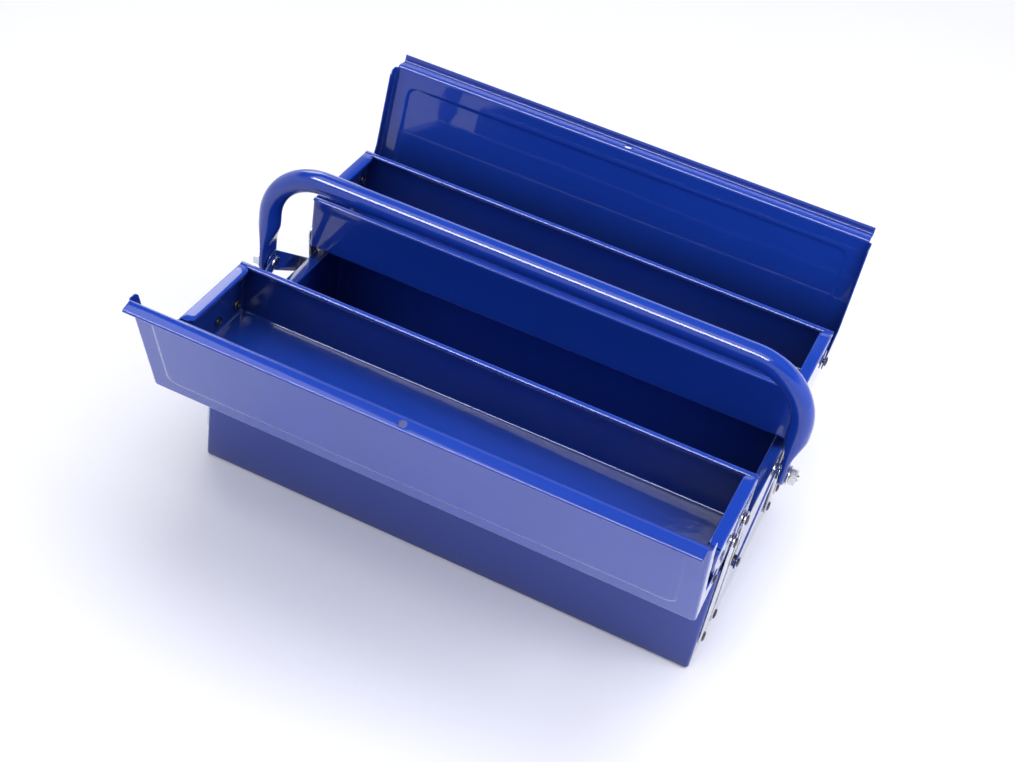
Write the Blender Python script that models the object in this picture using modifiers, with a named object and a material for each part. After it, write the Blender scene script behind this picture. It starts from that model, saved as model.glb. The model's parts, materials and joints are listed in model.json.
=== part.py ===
"""Sheet-steel cantilever tool box: a deep base, two trays that swing out on parallel links,
a hinged lid on each tray and one tubular handle carried by four struts.

Metres, +Z up. The origin is the centre of the base's underside, the box's length runs along X,
and the front is -Y. The box is modelled open: trays swung out and both lids folded back.
"""

import math

import bmesh
import bpy
from mathutils import Matrix

MM = 0.001

# Driving dimensions: the three sheet-steel compartments
LENGTH = 420 * MM
BASE_DEPTH = 208 * MM
BASE_HEIGHT = 109 * MM
TRAY_DEPTH = 92 * MM
TRAY_HEIGHT = 48 * MM
SHEET = 1.2 * MM
FOLD_RADIUS = 3 * MM
FOLD_STEPS = 3
END_FLANGE = 10 * MM
SIDE_FLANGE = 5 * MM
RIM_LIP = 3 * MM

# Driving dimensions: the swing linkage on each end
LINK_LENGTH = 102 * MM
LINK_WIDTH = 13 * MM
LINK_THICKNESS = 1.6 * MM
LINK_PIVOT_HEIGHT = 30 * MM
INNER_BASE_PIVOT = 68 * MM
OUTER_BASE_PIVOT = 94 * MM
INNER_TRAY_PIVOT = 20 * MM
TRAY_PIVOT_HEIGHT = 10.5 * MM
OPEN_LEAN = {"front": math.radians(1.2), "back": math.radians(-9.5)}

# Driving dimensions: lids
LID_OPEN = {"front": math.radians(108.6), "back": math.radians(100.0)}
LID_PIVOT_INSET = 6 * MM
LID_PIVOT_HEIGHT = 21 * MM
LID_RISE = 5 * MM
LID_SKIRT = 10 * MM
LID_OVERHANG = 1.9 * MM
LID_RIDGE = {"front": 10 * MM, "back": 11.6 * MM}
LID_LIP = 7 * MM
LID_CENTRE_GAP = 0.8 * MM
EMBOSS_MARGIN = 12 * MM
EMBOSS_RISE = 0.8 * MM
EMBOSS_SLOPE = 1.6 * MM
PADLOCK_HOLE = 3.2 * MM
EAR_RADIUS = 7 * MM
EAR_FLARE = 12 * MM

# Driving dimensions: handle and its struts
TUBE_RADIUS = 9 * MM
HANDLE_RISE = 91 * MM
HANDLE_BEND = 46 * MM
STRUT_PIVOT = 60 * MM
STRUT_LENGTH = 75.8 * MM
STRUT_WIDTH = 12 * MM
STRUT_THICKNESS = 1.5 * MM
FOOT_THICKNESS = 6 * MM
FOOT_WIDTH = 22 * MM
FOOT_BELOW = 9 * MM
FLAT_TO = 14 * MM
ROUND_FROM = 36 * MM
EYE_BORDER = 3 * MM

# Clearances, and the layers outside each end wall, measured outwards from its face
GAP = 0.3 * MM
LINK_LAYER = 0.4 * MM
FRONT_STRUT_LAYER = 4.1 * MM
BACK_STRUT_LAYER = 5.9 * MM
FOOT_LAYER = 7.8 * MM
RIVET_RADIUS = 2 * MM
RIVET_HEAD = 4 * MM
RIVET_HEAD_HEIGHT = 1.4 * MM
COLLAR_RADIUS = 4.5 * MM

# The handle's pivot bolts: a thin head inside the struts, a washer and a nut outside the feet
BOLT_RADIUS = 3 * MM
BOLT_HEAD_RADIUS = 5.5 * MM
BOLT_HEAD_HEIGHT = 1.5 * MM
BOLT_TIP = 1.5 * MM
BOLT_CHAMFER = 0.6 * MM
WASHER_RADIUS = 7.6 * MM
WASHER_THICKNESS = 1.2 * MM
NUT_RADIUS = 6.8 * MM
NUT_HEIGHT = 5 * MM

END = LENGTH / 2
LEG_X = END + FOOT_LAYER + FOOT_THICKNESS / 2
CLOSED_LEAN = -math.asin((INNER_BASE_PIVOT - INNER_TRAY_PIVOT) / LINK_LENGTH)
TRAY_INNER_FACE = BASE_DEPTH / 2 - TRAY_DEPTH
SIDES = {"front": -1, "back": 1}
ENDS = {"left": -1, "right": 1}
STRUT_LAYER = {"front": FRONT_STRUT_LAYER, "back": BACK_STRUT_LAYER}
ROUND_STEPS = 12
BEND_STEPS = 6
WELD = 0.01 * MM
CUT_BEYOND = 10 * MM
JOIN_SKIN = 0.05 * MM
SMOOTH_ANGLE = math.radians(35)

# A domed rivet head's outline, as shares of its radius and height
RIVET_DOME = ((0, 1), (0.6, 0.85), (1, 0.35), (1, 0))

BLUE = ("blue_paint", (0.012, 0.045, 0.42), 0.25, 0.0)
ZINC = ("zinc_plate", (0.62, 0.63, 0.65), 0.3, 1.0)
DARK = ("dark_rivet", (0.05, 0.05, 0.06), 0.4, 1.0)


def clear_scene():
    for obj in list(bpy.data.objects):
        bpy.data.objects.remove(obj, do_unlink=True)


def make_collection(name):
    group = bpy.data.collections.new(name)
    bpy.context.scene.collection.children.link(group)
    return group


def make_material(spec):
    name, colour, roughness, metallic = spec
    material = bpy.data.materials.new(name)
    material.use_nodes = True
    shader = material.node_tree.nodes["Principled BSDF"]
    shader.inputs["Base Color"].default_value = (*colour, 1.0)
    shader.inputs["Roughness"].default_value = roughness
    shader.inputs["Metallic"].default_value = metallic
    return material


def add_object(name, data, material):
    obj = bpy.data.objects.new(name, data)
    data.materials.append(material)
    PARTS.objects.link(obj)
    return obj


def mesh_object(name, form, material):
    mesh = bpy.data.meshes.new(name)
    bmesh.ops.recalc_face_normals(form, faces=form.faces)
    form.to_mesh(mesh)
    form.free()
    return add_object(name, mesh, material)


def smooth(mesh):
    mesh.shade_smooth()
    mesh.set_sharp_from_angle(angle=SMOOTH_ANGLE)


def baked(obj):
    """The evaluated object as a mesh form in place, its loose joins welded; the object goes."""
    bpy.context.view_layer.update()
    evaluated = obj.evaluated_get(bpy.context.evaluated_depsgraph_get())
    mesh = bpy.data.meshes.new_from_object(evaluated)
    mesh.transform(obj.matrix_world)
    bpy.data.objects.remove(obj)
    form = bmesh.new()
    form.from_mesh(mesh)
    bmesh.ops.remove_doubles(form, verts=form.verts, dist=WELD)
    bpy.data.meshes.remove(mesh)
    return form


def add_axis(name, y, z, turn=0.0, parent=None):
    """An empty on a joint's axis, turned about X; its children move with the joint."""
    empty = bpy.data.objects.new(name, None)
    empty.empty_display_size = 20 * MM
    PARTS.objects.link(empty)
    empty.parent = parent
    empty.location = (0, y, z)
    empty.rotation_euler = (turn, 0, 0)
    return empty


def place(obj, parent, location, rotation=(0, 0, 0)):
    obj.parent = parent
    obj.location = location
    obj.rotation_euler = rotation
    return obj


def tool_object(name, form, parent, location):
    """A hidden object that only cuts or joins another."""
    mesh = bpy.data.meshes.new(name)
    bmesh.ops.recalc_face_normals(form, faces=form.faces)
    form.to_mesh(mesh)
    form.free()
    obj = bpy.data.objects.new(name, mesh)
    CUTTERS.objects.link(obj)
    obj.hide_render = True
    obj.display_type = "WIRE"
    return place(obj, parent, location)


def hole_through(obj, radius, parent, location, axis="X", depth=LENGTH + 2 * FOOT_LAYER):
    """Cuts a round hole along X or Y; the cutter is named for the object and its place."""
    form = bmesh.new()
    bmesh.ops.create_cone(
        form,
        cap_ends=True,
        segments=ROUND_STEPS * 2,
        radius1=radius,
        radius2=radius,
        depth=depth + 2 * CUT_BEYOND,
        matrix=Matrix.Rotation(math.pi / 2, 4, "Y" if axis == "X" else "X"),
    )
    name = f"cut_{obj.name}_{len(obj.modifiers)}"
    boolean(obj, tool_object(name, form, parent, location))


def boolean(obj, other, operation="DIFFERENCE"):
    modifier = obj.modifiers.new(other.name, "BOOLEAN")
    modifier.operation = operation
    modifier.solver = "EXACT"
    modifier.object = other


def solidify(obj, thickness, offset):
    modifier = obj.modifiers.new("sheet", "SOLIDIFY")
    modifier.thickness = thickness
    modifier.offset = offset
    modifier.use_even_offset = True


def turned(name, profile, material):
    """A turned piece from its (radius, height) outline, listed from the top down."""
    outline = bpy.data.meshes.new(name)
    points = [(radius, 0, height) for radius, height in profile]
    outline.from_pydata(points, [(i, i + 1) for i in range(len(points) - 1)], [])
    line = bpy.data.objects.new(f"{name}_outline", outline)
    PARTS.objects.link(line)
    screw = line.modifiers.new("turn", "SCREW")
    screw.steps = ROUND_STEPS
    screw.render_steps = ROUND_STEPS
    screw.use_merge_vertices = True
    screw.merge_threshold = WELD
    obj = mesh_object(name, baked(line), material)
    smooth(obj.data)
    return obj


# ---------------------------------------------------------------- compartments


def open_box(name, depth, height):
    """A folded sheet box, open at the top, whose rim is turned inwards and lipped down."""
    form = bmesh.new()
    bmesh.ops.create_cube(form, size=1.0, matrix=Matrix.Diagonal((LENGTH, depth, height, 1)))
    bmesh.ops.translate(form, verts=form.verts, vec=(0, 0, height / 2))
    lid = [face for face in form.faces if face.normal.z > 0.5]
    rim = set(lid[0].edges)
    bmesh.ops.delete(form, geom=lid, context="FACES_ONLY")
    folds = [edge for edge in form.edges if edge not in rim]
    bmesh.ops.bevel(form, geom=folds, offset=FOLD_RADIUS, segments=FOLD_STEPS, profile=0.5, affect="EDGES")
    turn_rim_in(form, depth, height)
    box = mesh_object(name, form, PAINT)
    solidify(box, SHEET, -1)
    return box


def turn_rim_in(form, depth, height):
    """Extrudes the open top inwards to the flange's edge, then down as a short lip."""
    reach_x = (END - END_FLANGE) / END
    reach_y = (depth / 2 - SIDE_FLANGE) / (depth / 2)
    edges = [edge for edge in form.edges if edge.is_boundary]
    inward = extrude_edges(form, edges)
    for vert in inward:
        vert.co.x *= reach_x
        vert.co.y *= reach_y
    edges = [edge for edge in form.edges if edge.is_boundary]
    for vert in extrude_edges(form, edges):
        vert.co.z = height - RIM_LIP


def extrude_edges(form, edges):
    made = bmesh.ops.extrude_edge_only(form, edges=edges)["geom"]
    return [item for item in made if isinstance(item, bmesh.types.BMVert)]


def make_base():
    base = open_box("base_box", BASE_DEPTH, BASE_HEIGHT)
    for side, out in SIDES.items():
        for which, reach in (("inner", INNER_BASE_PIVOT), ("outer", OUTER_BASE_PIVOT)):
            spot = (0, out * reach, LINK_PIVOT_HEIGHT)
            hole_through(base, RIVET_RADIUS + GAP, None, spot)
            for end, way in ENDS.items():
                add_rivet(f"base_rivet_{side}_{which}_{end}", None, spot[1], spot[2], way, LINK_THICKNESS)


def make_tray(side, axis):
    """A tray and its pins. The axis is the inner link's upper pivot; the tray hangs from it."""
    out = SIDES[side]
    tray = open_box(f"{side}_tray", TRAY_DEPTH, TRAY_HEIGHT)
    centre = out * (TRAY_INNER_FACE + TRAY_DEPTH / 2 - INNER_TRAY_PIVOT)
    place(tray, axis, (0, centre, -TRAY_PIVOT_HEIGHT))
    spacing = out * (OUTER_BASE_PIVOT - INNER_BASE_PIVOT)
    for which, y in (("inner", 0.0), ("outer", spacing)):
        hole_through(tray, RIVET_RADIUS + GAP, axis, (0, y, 0))
        for end, way in ENDS.items():
            add_rivet(f"{side}_tray_rivet_{which}_{end}", axis, y, 0, way, LINK_THICKNESS)
    y, z = lid_pivot(side)
    hole_through(tray, RIVET_RADIUS + GAP, axis, (0, y, z))
    for end, way in ENDS.items():
        add_rivet(f"{side}_lid_pin_{end}", axis, y, z, way, SHEET)


# ---------------------------------------------------------------- rivets, links and struts


def rivet_dome(height):
    """The outline of a domed rivet head that sits at this height."""
    return [(RIVET_HEAD * across, height + RIVET_HEAD_HEIGHT * up) for across, up in RIVET_DOME]


def add_rivet(name, parent, y, z, way, outer_thickness):
    """A rivet through the end wall and one plate outside it; way is the end it stands on."""
    plate_out = LINK_LAYER + outer_thickness + GAP
    wall_in = -SHEET - GAP
    profile = rivet_dome(plate_out) + [
        (RIVET_RADIUS, plate_out),
        (RIVET_RADIUS, wall_in),
        (RIVET_HEAD, wall_in),
        (RIVET_HEAD, wall_in - RIVET_HEAD_HEIGHT),
        (0, wall_in - RIVET_HEAD_HEIGHT),
    ]
    rivet = turned(name, profile, RIVET)
    return place(rivet, parent, (way * END, y, z), (0, way * math.pi / 2, 0))


def add_strut_rivet(name, parent, way, strut_layer):
    """The shouldered rivet that holds a strut clear of the rivet heads under it."""
    strut_out = strut_layer + STRUT_THICKNESS + GAP
    collar_out = strut_layer - GAP
    link_out = LINK_LAYER + LINK_THICKNESS + GAP
    profile = rivet_dome(strut_out) + [
        (RIVET_RADIUS, strut_out),
        (RIVET_RADIUS, collar_out),
        (COLLAR_RADIUS, collar_out),
        (COLLAR_RADIUS, link_out),
        (RIVET_RADIUS, link_out),
        (RIVET_RADIUS, LINK_LAYER),
        (0, LINK_LAYER),
    ]
    rivet = turned(name, profile, RIVET)
    return place(rivet, parent, (way * END, 0, STRUT_PIVOT), (0, way * math.pi / 2, 0))


def round_ended(length, start_radius, end_radius):
    """Outline points of a bar from (0, 0) to (length, 0), whose sides touch both round ends."""
    flare = math.asin((end_radius - start_radius) / length)
    half = ROUND_STEPS // 2
    points = []
    for centre, radius, start, sweep in (
        (0.0, start_radius, math.pi / 2 + flare, math.pi - 2 * flare),
        (length, end_radius, -math.pi / 2 - flare, math.pi + 2 * flare),
    ):
        for step in range(half + 1):
            angle = start + sweep * step / half
            points.append((centre + radius * math.cos(angle), radius * math.sin(angle)))
    return points


def circle(x, y, radius, count=ROUND_STEPS * 2):
    turns = [2 * math.pi * i / count for i in range(count)]
    return [(x + radius * math.cos(a), y + radius * math.sin(a)) for a in turns]


def flat_plate(name, outlines, thickness, material):
    """A plate from closed outlines in its own XY plane; inner outlines are holes."""
    curve = bpy.data.curves.new(name, "CURVE")
    curve.dimensions = "2D"
    curve.fill_mode = "BOTH"
    curve.extrude = thickness / 2
    for outline in outlines:
        spline = curve.splines.new("POLY")
        spline.points.add(len(outline) - 1)
        for point, (x, y) in zip(spline.points, outline):
            point.co = (x, y, 0, 1)
        spline.use_cyclic_u = True
    return add_object(name, curve, material)


def holes_at(spots, radius):
    """Pin holes along a bar's middle line."""
    return [circle(spot, 0, radius) for spot in spots]


def make_links(side, which, axis):
    """The left and right link of one axis; each stands up from the axis along its local Z."""
    spots = [0, STRUT_PIVOT, LINK_LENGTH] if which == "inner" else [0, LINK_LENGTH]
    outlines = [round_ended(LINK_LENGTH, LINK_WIDTH / 2, LINK_WIDTH / 2)]
    outlines += holes_at(spots, RIVET_RADIUS + GAP)
    middle = END + LINK_LAYER + LINK_THICKNESS / 2
    for end, way in ENDS.items():
        link = flat_plate(f"{side}_{which}_link_{end}", outlines, LINK_THICKNESS, STEEL)
        place(link, axis, (way * middle, 0, 0), (0, -math.pi / 2, 0))
        if which == "inner":
            add_strut_rivet(f"{side}_strut_rivet_{end}", axis, way, STRUT_LAYER[side])


def strut_outlines(side):
    """A strut's outlines. A front strut holds its bolt snugly. A back strut's eye is wider, by
    as much as the bolt strays from it between the two ends of the handle's travel."""
    snug = BOLT_RADIUS + GAP
    if side == "front":
        end, bore, eye = (STRUT_LENGTH, 0.0), snug, STRUT_WIDTH / 2
    else:
        along, across = bolt_stray()
        end = (STRUT_LENGTH + along / 2, across / 2)
        bore = snug + GAP + math.hypot(along, across) / 2
        eye = bore + EYE_BORDER
    outline = round_ended(math.hypot(*end), STRUT_WIDTH / 2, eye)
    turn = math.atan2(end[1], end[0])
    cos, sin = math.cos(turn), math.sin(turn)
    outline = [(x * cos - y * sin, x * sin + y * cos) for x, y in outline]
    return [outline, circle(0, 0, RIVET_RADIUS + GAP), circle(*end, bore)]


def make_struts(side, axis):
    """The left and right strut that tie a side's inner links to the handle."""
    middle = END + STRUT_LAYER[side] + STRUT_THICKNESS / 2
    for end, way in ENDS.items():
        strut = flat_plate(f"{side}_strut_{end}", strut_outlines(side), STRUT_THICKNESS, PAINT)
        place(strut, axis, (way * middle, 0, 0), (0, -math.pi / 2, 0))


# ---------------------------------------------------------------- lids


def lid_pivot(side):
    """The lid's hinge axis, measured from the tray's inner pivot as (y, z)."""
    out = SIDES[side]
    reach = BASE_DEPTH / 2 - LID_PIVOT_INSET - INNER_TRAY_PIVOT
    return out * reach, LID_PIVOT_HEIGHT - TRAY_PIVOT_HEIGHT


def lid_profile(side):
    """The closed lid's section from skirt to ridge, as (inward, up) from its hinge axis."""
    outer = -(LID_PIVOT_INSET + LID_OVERHANG)
    inner = BASE_DEPTH / 2 - LID_PIVOT_INSET - LID_CENTRE_GAP / 2 - SHEET
    top = TRAY_HEIGHT - LID_PIVOT_HEIGHT + LID_RISE
    points = [(outer, top - LID_SKIRT), (outer, top), (inner, top), (inner, top + LID_RIDGE[side])]
    if side == "back":
        points.append((inner + LID_LIP, top + LID_RIDGE[side]))
    return points


def make_lid(side, axis):
    """A lid in its own closed frame: local Y runs towards the box's middle, local Z up."""
    points = lid_profile(side)
    half = END + LINK_LAYER + SHEET
    form = bmesh.new()
    rows = [[form.verts.new((x, y, z)) for y, z in points] for x in (-half, half)]
    panel = None
    for i in range(len(points) - 1):
        face = form.faces.new((rows[0][i], rows[1][i], rows[1][i + 1], rows[0][i + 1]))
        if i == 1:
            panel = face
    bmesh.ops.inset_individual(form, faces=[panel], thickness=EMBOSS_MARGIN)
    bmesh.ops.inset_individual(form, faces=[panel], thickness=EMBOSS_SLOPE)
    for vert in panel.verts:
        vert.co.z += EMBOSS_RISE
    lid = mesh_object(f"{side}_lid", form, PAINT)
    if sheet_faces_down(lid):
        lid.data.flip_normals()
    solidify(lid, SHEET, -1)
    turn = 0.0 if side == "front" else math.pi
    place(lid, axis, (0, 0, 0), (0, 0, turn))
    for end, way in ENDS.items():
        boolean(lid, lid_end(f"join_{side}_lid_{end}", way, lid, points), "UNION")
    hole_through(lid, RIVET_RADIUS + GAP, axis, (0, 0, 0))
    inner, ridge_foot = points[2]
    spot = (0, inner, ridge_foot + LID_RIDGE["front"] / 2)
    hole_through(lid, PADLOCK_HOLE, lid, spot, "Y", SHEET)


def sheet_faces_down(lid):
    largest = max(lid.data.polygons, key=lambda polygon: polygon.area)
    return largest.normal.z < 0


def lid_end(name, way, lid, points):
    """A lid's end flange, to be joined on, with the ear that reaches down to the hinge pin."""
    (outer, top), (inner, _) = points[1], points[2]
    edge = top - LID_SKIRT
    arc = [math.pi + math.pi * i / ROUND_STEPS for i in range(ROUND_STEPS + 1)]
    outline = [(outer, top - SHEET / 2), (outer, edge)]
    outline += [(EAR_RADIUS * math.cos(a), EAR_RADIUS * math.sin(a)) for a in arc]
    outline += [(EAR_RADIUS + EAR_FLARE, edge), (inner, edge), (inner, top - SHEET / 2)]
    form = bmesh.new()
    x = way * (END + LINK_LAYER + SHEET / 2)
    half = SHEET / 2 - JOIN_SKIN
    flat = form.faces.new([form.verts.new((x - half, y, z)) for y, z in outline])
    made = bmesh.ops.extrude_face_region(form, geom=[flat])["geom"]
    moved = [item for item in made if isinstance(item, bmesh.types.BMVert)]
    bmesh.ops.translate(form, verts=moved, vec=(2 * half, 0, 0))
    return tool_object(name, form, lid, (0, 0, 0))


# ---------------------------------------------------------------- handle


def handle_path():
    """The tube's centre line in the XZ plane, from the left foot to the right foot."""
    half = [(-LEG_X, -FOOT_BELOW), (-LEG_X, FLAT_TO), (-LEG_X, ROUND_FROM)]
    centre_x, centre_z = -LEG_X + HANDLE_BEND, HANDLE_RISE - HANDLE_BEND
    for step in range(BEND_STEPS + 1):
        angle = math.pi - math.pi / 2 * step / BEND_STEPS
        half.append((centre_x + HANDLE_BEND * math.cos(angle), centre_z + HANDLE_BEND * math.sin(angle)))
    return half + [(-x, z) for x, z in reversed(half)]


def make_handle(axis):
    """A bent tube whose feet are flattened for the bolts; the axis is the bolts' line."""
    curve = bpy.data.curves.new("handle_line", "CURVE")
    curve.dimensions = "3D"
    curve.bevel_depth = TUBE_RADIUS
    curve.bevel_resolution = 2
    curve.use_fill_caps = True
    path = handle_path()
    spline = curve.splines.new("POLY")
    spline.points.add(len(path) - 1)
    for point, (x, z) in zip(spline.points, path):
        point.co = (x, 0, z, 1)
    line = bpy.data.objects.new("handle_line", curve)
    PARTS.objects.link(line)
    form = baked(line)
    for vert in form.verts:
        flatten_foot(vert)
    handle = place(mesh_object("handle_tube", form, PAINT), axis, (0, 0, 0))
    smooth(handle.data)
    hole_through(handle, BOLT_RADIUS + GAP, axis, (0, 0, 0))
    for end, way in ENDS.items():
        add_bolt(end, way, axis)


def flatten_foot(vert):
    """Presses the round tube flat below FLAT_TO and blends back to round at ROUND_FROM."""
    if vert.co.z > ROUND_FROM:
        return
    flat = min(1.0, (ROUND_FROM - vert.co.z) / (ROUND_FROM - FLAT_TO))
    centre = math.copysign(LEG_X, vert.co.x)
    thin = 1 + (FOOT_THICKNESS / 2 / TUBE_RADIUS - 1) * flat
    wide = 1 + (FOOT_WIDTH / 2 / TUBE_RADIUS - 1) * flat
    vert.co.x = centre + (vert.co.x - centre) * thin
    vert.co.y *= wide


def add_bolt(end, way, axis):
    """The handle's pivot bolt, its washer and its hexagon nut, outwards along X."""
    washer_in = FOOT_LAYER + FOOT_THICKNESS + GAP
    nut_in = washer_in + WASHER_THICKNESS + GAP
    tip = nut_in + NUT_HEIGHT + BOLT_TIP
    head_out = FRONT_STRUT_LAYER - GAP
    head_in = head_out - BOLT_HEAD_HEIGHT
    turn = (0, way * math.pi / 2, 0)
    profile = [
        (0, tip),
        (BOLT_RADIUS - BOLT_CHAMFER, tip),
        (BOLT_RADIUS, tip - BOLT_CHAMFER),
        (BOLT_RADIUS, head_out),
        (BOLT_HEAD_RADIUS, head_out),
        (BOLT_HEAD_RADIUS, head_in),
        (0, head_in),
    ]
    place(turned(f"handle_bolt_{end}", profile, STEEL), axis, (way * END, 0, 0), turn)
    bore = circle(0, 0, BOLT_RADIUS + GAP)
    ring = [circle(0, 0, WASHER_RADIUS), bore]
    washer = flat_plate(f"handle_washer_{end}", ring, WASHER_THICKNESS, STEEL)
    place(washer, axis, (way * (END + washer_in + WASHER_THICKNESS / 2), 0, 0), turn)
    hexagon = [circle(0, 0, NUT_RADIUS, 6), bore]
    nut = flat_plate(f"handle_nut_{end}", hexagon, NUT_HEIGHT, STEEL)
    place(nut, axis, (way * (END + nut_in + NUT_HEIGHT / 2), 0, 0), turn)


# ---------------------------------------------------------------- assembly


def link_point(side, base_pivot, lean, distance):
    """A point up a link that leans outwards by lean, as (y, z)."""
    out = SIDES[side]
    y = out * (base_pivot + distance * math.sin(lean))
    return y, LINK_PIVOT_HEIGHT + distance * math.cos(lean)


def handle_point(front, back):
    """Where the front and back struts meet above their lower pivots, as (y, z)."""
    (y1, z1), (y2, z2) = front, back
    span = math.hypot(y2 - y1, z2 - z1)
    rise = math.sqrt(STRUT_LENGTH**2 - (span / 2) ** 2)
    middle_y, middle_z = (y1 + y2) / 2, (z1 + z2) / 2
    return middle_y - (z2 - z1) / span * rise, middle_z + (y2 - y1) / span * rise


def knee(side, share):
    """Where a strut joins its inner link, at a share of the travel from open (0) to closed (1)."""
    lean = OPEN_LEAN[side] + (CLOSED_LEAN - OPEN_LEAN[side]) * share
    return link_point(side, INNER_BASE_PIVOT, lean, STRUT_PIVOT)


def strut_lean(side, share):
    """The strut's lean towards +Y when the handle's bolts hold both struts at this share."""
    y, z = knee(side, share)
    bolt_y, bolt_z = handle_point(knee("front", share), knee("back", share))
    return math.atan2(bolt_y - y, bolt_z - z)


def bolt_stray():
    """How far the bolt, held by the front strut, is from the back strut's end at half travel,
    as (along, across) the back strut, when both struts turn in proportion to the links."""
    ends = {}
    for side in SIDES:
        lean = (strut_lean(side, 0) + strut_lean(side, 1)) / 2
        y, z = knee(side, 0.5)
        ends[side] = (y + STRUT_LENGTH * math.sin(lean), z + STRUT_LENGTH * math.cos(lean), lean)
    apart_y = ends["front"][0] - ends["back"][0]
    apart_z = ends["front"][1] - ends["back"][1]
    sin, cos = math.sin(ends["back"][2]), math.cos(ends["back"][2])
    return apart_y * sin + apart_z * cos, apart_y * cos - apart_z * sin


def build():
    make_base()
    for side, out in SIDES.items():
        lean = OPEN_LEAN[side]
        turn = -out * lean
        for which, pivot in (("inner", INNER_BASE_PIVOT), ("outer", OUTER_BASE_PIVOT)):
            axis = add_axis(f"{side}_{which}_link_axis", out * pivot, LINK_PIVOT_HEIGHT, turn)
            make_links(side, which, axis)
        y, z = link_point(side, INNER_BASE_PIVOT, lean, LINK_LENGTH)
        tray_axis = add_axis(f"{side}_tray_axis", y, z)
        make_tray(side, tray_axis)
        lid_y, lid_z = lid_pivot(side)
        lid_axis = add_axis(f"{side}_lid_axis", lid_y, lid_z, -out * LID_OPEN[side], tray_axis)
        make_lid(side, lid_axis)
        make_struts(side, add_axis(f"{side}_strut_axis", *knee(side, 0), -strut_lean(side, 0)))
    make_handle(add_axis("handle_axis", *handle_point(knee("front", 0), knee("back", 0))))


clear_scene()
PARTS = make_collection("cantilever_tool_box")
CUTTERS = make_collection("cutters")
PAINT = make_material(BLUE)
STEEL = make_material(ZINC)
RIVET = make_material(DARK)
build()
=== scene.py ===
"""The looks of a sheet-steel cantilever tool box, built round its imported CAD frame.

Metres, +Z up, the box's length along X and its front at -Y. Every piece is modelled where the CAD
node it stands for is at rest: trays swung out and both lids folded back.
"""

import json
import math

import bmesh
import bpy
from mathutils import Matrix, Vector, noise


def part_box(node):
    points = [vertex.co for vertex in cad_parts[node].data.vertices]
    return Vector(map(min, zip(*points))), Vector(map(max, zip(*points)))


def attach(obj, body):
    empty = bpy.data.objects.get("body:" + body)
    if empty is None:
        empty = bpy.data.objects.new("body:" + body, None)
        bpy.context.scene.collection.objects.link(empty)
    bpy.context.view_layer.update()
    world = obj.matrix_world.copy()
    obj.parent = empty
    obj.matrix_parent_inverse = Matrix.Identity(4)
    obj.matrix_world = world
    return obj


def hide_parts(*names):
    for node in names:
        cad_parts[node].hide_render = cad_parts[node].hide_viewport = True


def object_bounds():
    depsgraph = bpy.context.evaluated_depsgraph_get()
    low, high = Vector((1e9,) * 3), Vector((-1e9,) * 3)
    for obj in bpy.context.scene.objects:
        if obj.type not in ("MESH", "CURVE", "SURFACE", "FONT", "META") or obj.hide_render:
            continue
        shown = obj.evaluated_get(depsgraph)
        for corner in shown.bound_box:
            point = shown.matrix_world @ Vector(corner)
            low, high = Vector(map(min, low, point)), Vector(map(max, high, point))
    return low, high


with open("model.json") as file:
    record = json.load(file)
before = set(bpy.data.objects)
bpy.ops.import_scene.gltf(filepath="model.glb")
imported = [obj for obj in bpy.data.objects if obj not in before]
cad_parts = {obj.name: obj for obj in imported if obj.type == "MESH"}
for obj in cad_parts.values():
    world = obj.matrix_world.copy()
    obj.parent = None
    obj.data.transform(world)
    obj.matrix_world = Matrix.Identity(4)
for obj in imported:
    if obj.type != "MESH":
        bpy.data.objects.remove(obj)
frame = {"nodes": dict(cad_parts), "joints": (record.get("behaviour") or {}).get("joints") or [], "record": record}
CAD_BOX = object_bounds()

MM = 0.001
SIDES = ("front", "back")
ENDS = {"left": -1, "right": 1}
JOINTS = {joint["name"]: joint for joint in frame["joints"]}
BODIES = {name: sorted(nodes) for name, nodes in frame["record"]["behaviour"]["bodies"].items()}

# Sheet metal
SHEET = 0.9 * MM
FOLD_RADIUS = 3.0 * MM
FOLD_STEPS = 5
HEM_WIDTH = 5.6 * MM
HEM_HEIGHT = 4.6 * MM
HEM_TURN = math.radians(290)
HEM_STEPS = 18
HEM_SHORT = 0.2 * MM
END_FLANGE = 10 * MM
FLANGE_BEND = 1.5 * MM
FLANGE_LIP = 2.0 * MM
FLANGE_CLEAR = 0.3 * MM
FLANGE_CORNER = 3.0 * MM
BEND_STEPS = 5
GRID = 8 * MM
EDGE_BEVEL = 0.18 * MM
EDGE_ANGLE = math.radians(60)
WAVE = 0.22 * MM
WAVE_SIZE = 90 * MM
WAVE_FADE = 30 * MM
SMOOTH_ANGLE = math.radians(38)
SAME_PLACE = 0.1 * MM
WELD = 0.01 * MM

# Lids, in their closed frame: origin on the hinge, Y towards the box's middle
LID_RIDGE = 10 * MM
LID_LIP_ABOVE = 1.6 * MM
LIP_REACH = 7 * MM - SHEET
LID_SKIRT = 10 * MM
LID_BEND = 2.0 * MM
RIDGE_HEM = 0.95 * MM
RIDGE_HEM_DEPTH = 4.5 * MM
EAR_RADIUS = 7 * MM
EAR_FLARE = 19 * MM
EAR_ROWS = (0.35, 0.7, 1.0)
SKIRT_CORNER = 7 * MM
EMBOSS_MARGIN = 12 * MM
EMBOSS_CORNER = 9 * MM
EMBOSS_RISE = 0.9 * MM
EMBOSS_SLOPE = 2.6 * MM
EMBOSS_ZONE = EMBOSS_MARGIN + EMBOSS_CORNER + EMBOSS_SLOPE
FINE = 0.9 * MM
PADLOCK_HOLE = 3.2 * MM
CUTTER_DEPTH = 12 * MM

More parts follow.
